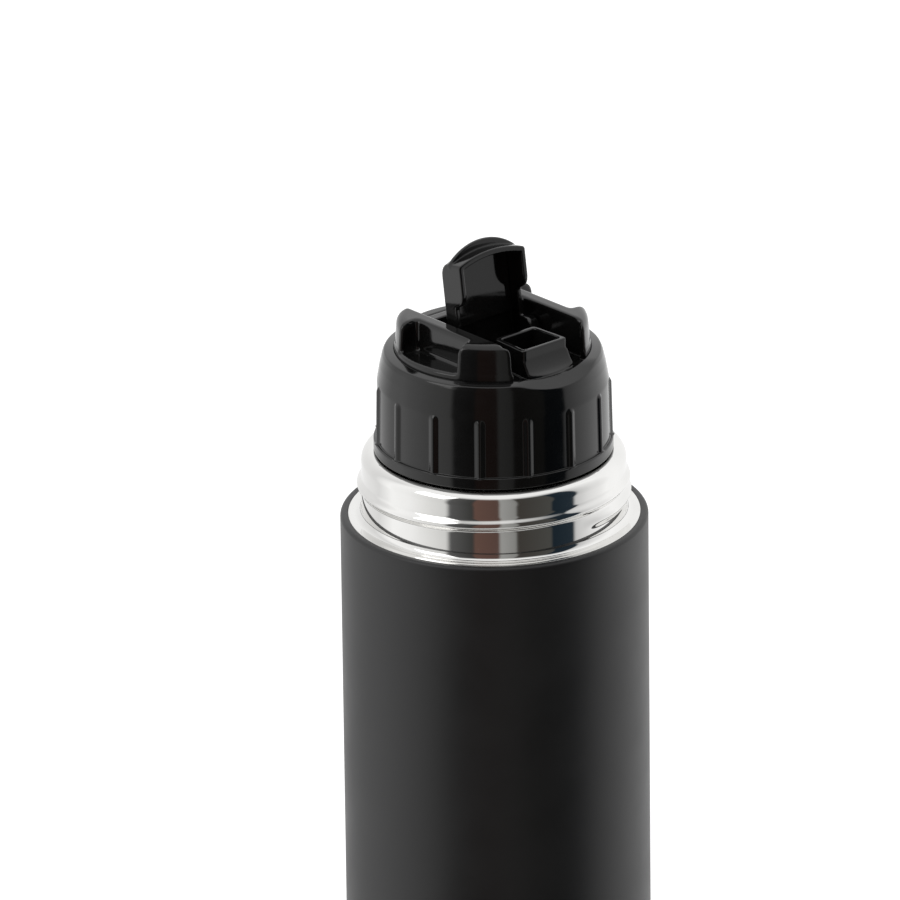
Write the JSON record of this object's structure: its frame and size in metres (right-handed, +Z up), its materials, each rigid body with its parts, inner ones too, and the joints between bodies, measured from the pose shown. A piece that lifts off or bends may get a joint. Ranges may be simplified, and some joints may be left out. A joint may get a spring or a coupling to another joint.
{
  "type": "vacuum flask",
  "caption": "Cylindrical double-wall steel vacuum flask with a bare threaded neck, a screw-out pour-through stopper with a ribbed collar, and a flip lever that closes the spout.",
  "frame": {"origin": "centre of the base, on the surface that the flask stands on", "axes": "+Z up the flask's axis towards the stopper; -Y is the direction that the spout pours in; X is along the lever's hinge"},
  "size_m": [0.08, 0.08, 0.2791],
  "materials": {
    "powder_coat": "fine matte black powder coat",
    "polished_steel": "polished stainless steel",
    "satin_steel": "satin stainless steel",
    "solder": "dull solder",
    "getter_alloy": "sintered alloy",
    "copper_foil": "thin bright copper foil",
    "gloss_black": "glossy moulded black polypropylene",
    "satin_black": "satin moulded black polypropylene",
    "foam": "rigid foam",
    "silicone": "soft grey silicone",
    "black_seal": "smooth black silicone",
    "pin_steel": "ground steel pin"
  },
  "bodies": {
    "flask": {"outer_tube": "powder_coat", "threaded_neck": "polished_steel", "outer_base": "satin_steel", "base_cover": "satin_steel", "vacuum_seal": "solder", "getter": "getter_alloy", "inner_liner": "satin_steel", "inner_bottom": "satin_steel", "radiation_foil": "copper_foil"},
    "stopper_seals": {"rim_gasket": "silicone", "plug_seal_ring": "silicone"},
    "stopper": {"stopper_collar": "gloss_black", "stopper_insert": "gloss_black", "stopper_plug": "satin_black", "plug_cover": "satin_black", "foam_core": "foam", "pour_duct": "satin_black", "duct_gasket": "silicone", "vent_tube": "satin_black", "hinge_pins": "pin_steel"},
    "lever": {"flip_lever": "gloss_black", "lever_seal": "black_seal"}
  },
  "joints": [
    {"name": "stopper_lift", "type": "slide", "parent": "flask", "child": "stopper_seals", "axis": [0, 0, 1], "range_m": [0, 0.04]},
    {"name": "stopper_turn", "type": "hinge", "parent": "stopper_seals", "child": "stopper", "pos_m": [0, 0, 0.2231], "axis": [0, 0, 1], "range_deg": [0, 1800]},
    {"name": "lever_close", "type": "hinge", "parent": "stopper", "child": "lever", "pos_m": [0, -0.0013, 0.2533], "axis": [1, 0, 0], "range_deg": [0, 98]}
  ],
  "couplings": [
    {"joint": "stopper_turn", "follows": "stopper_lift", "rad_per_m": 785.39}
  ]
}
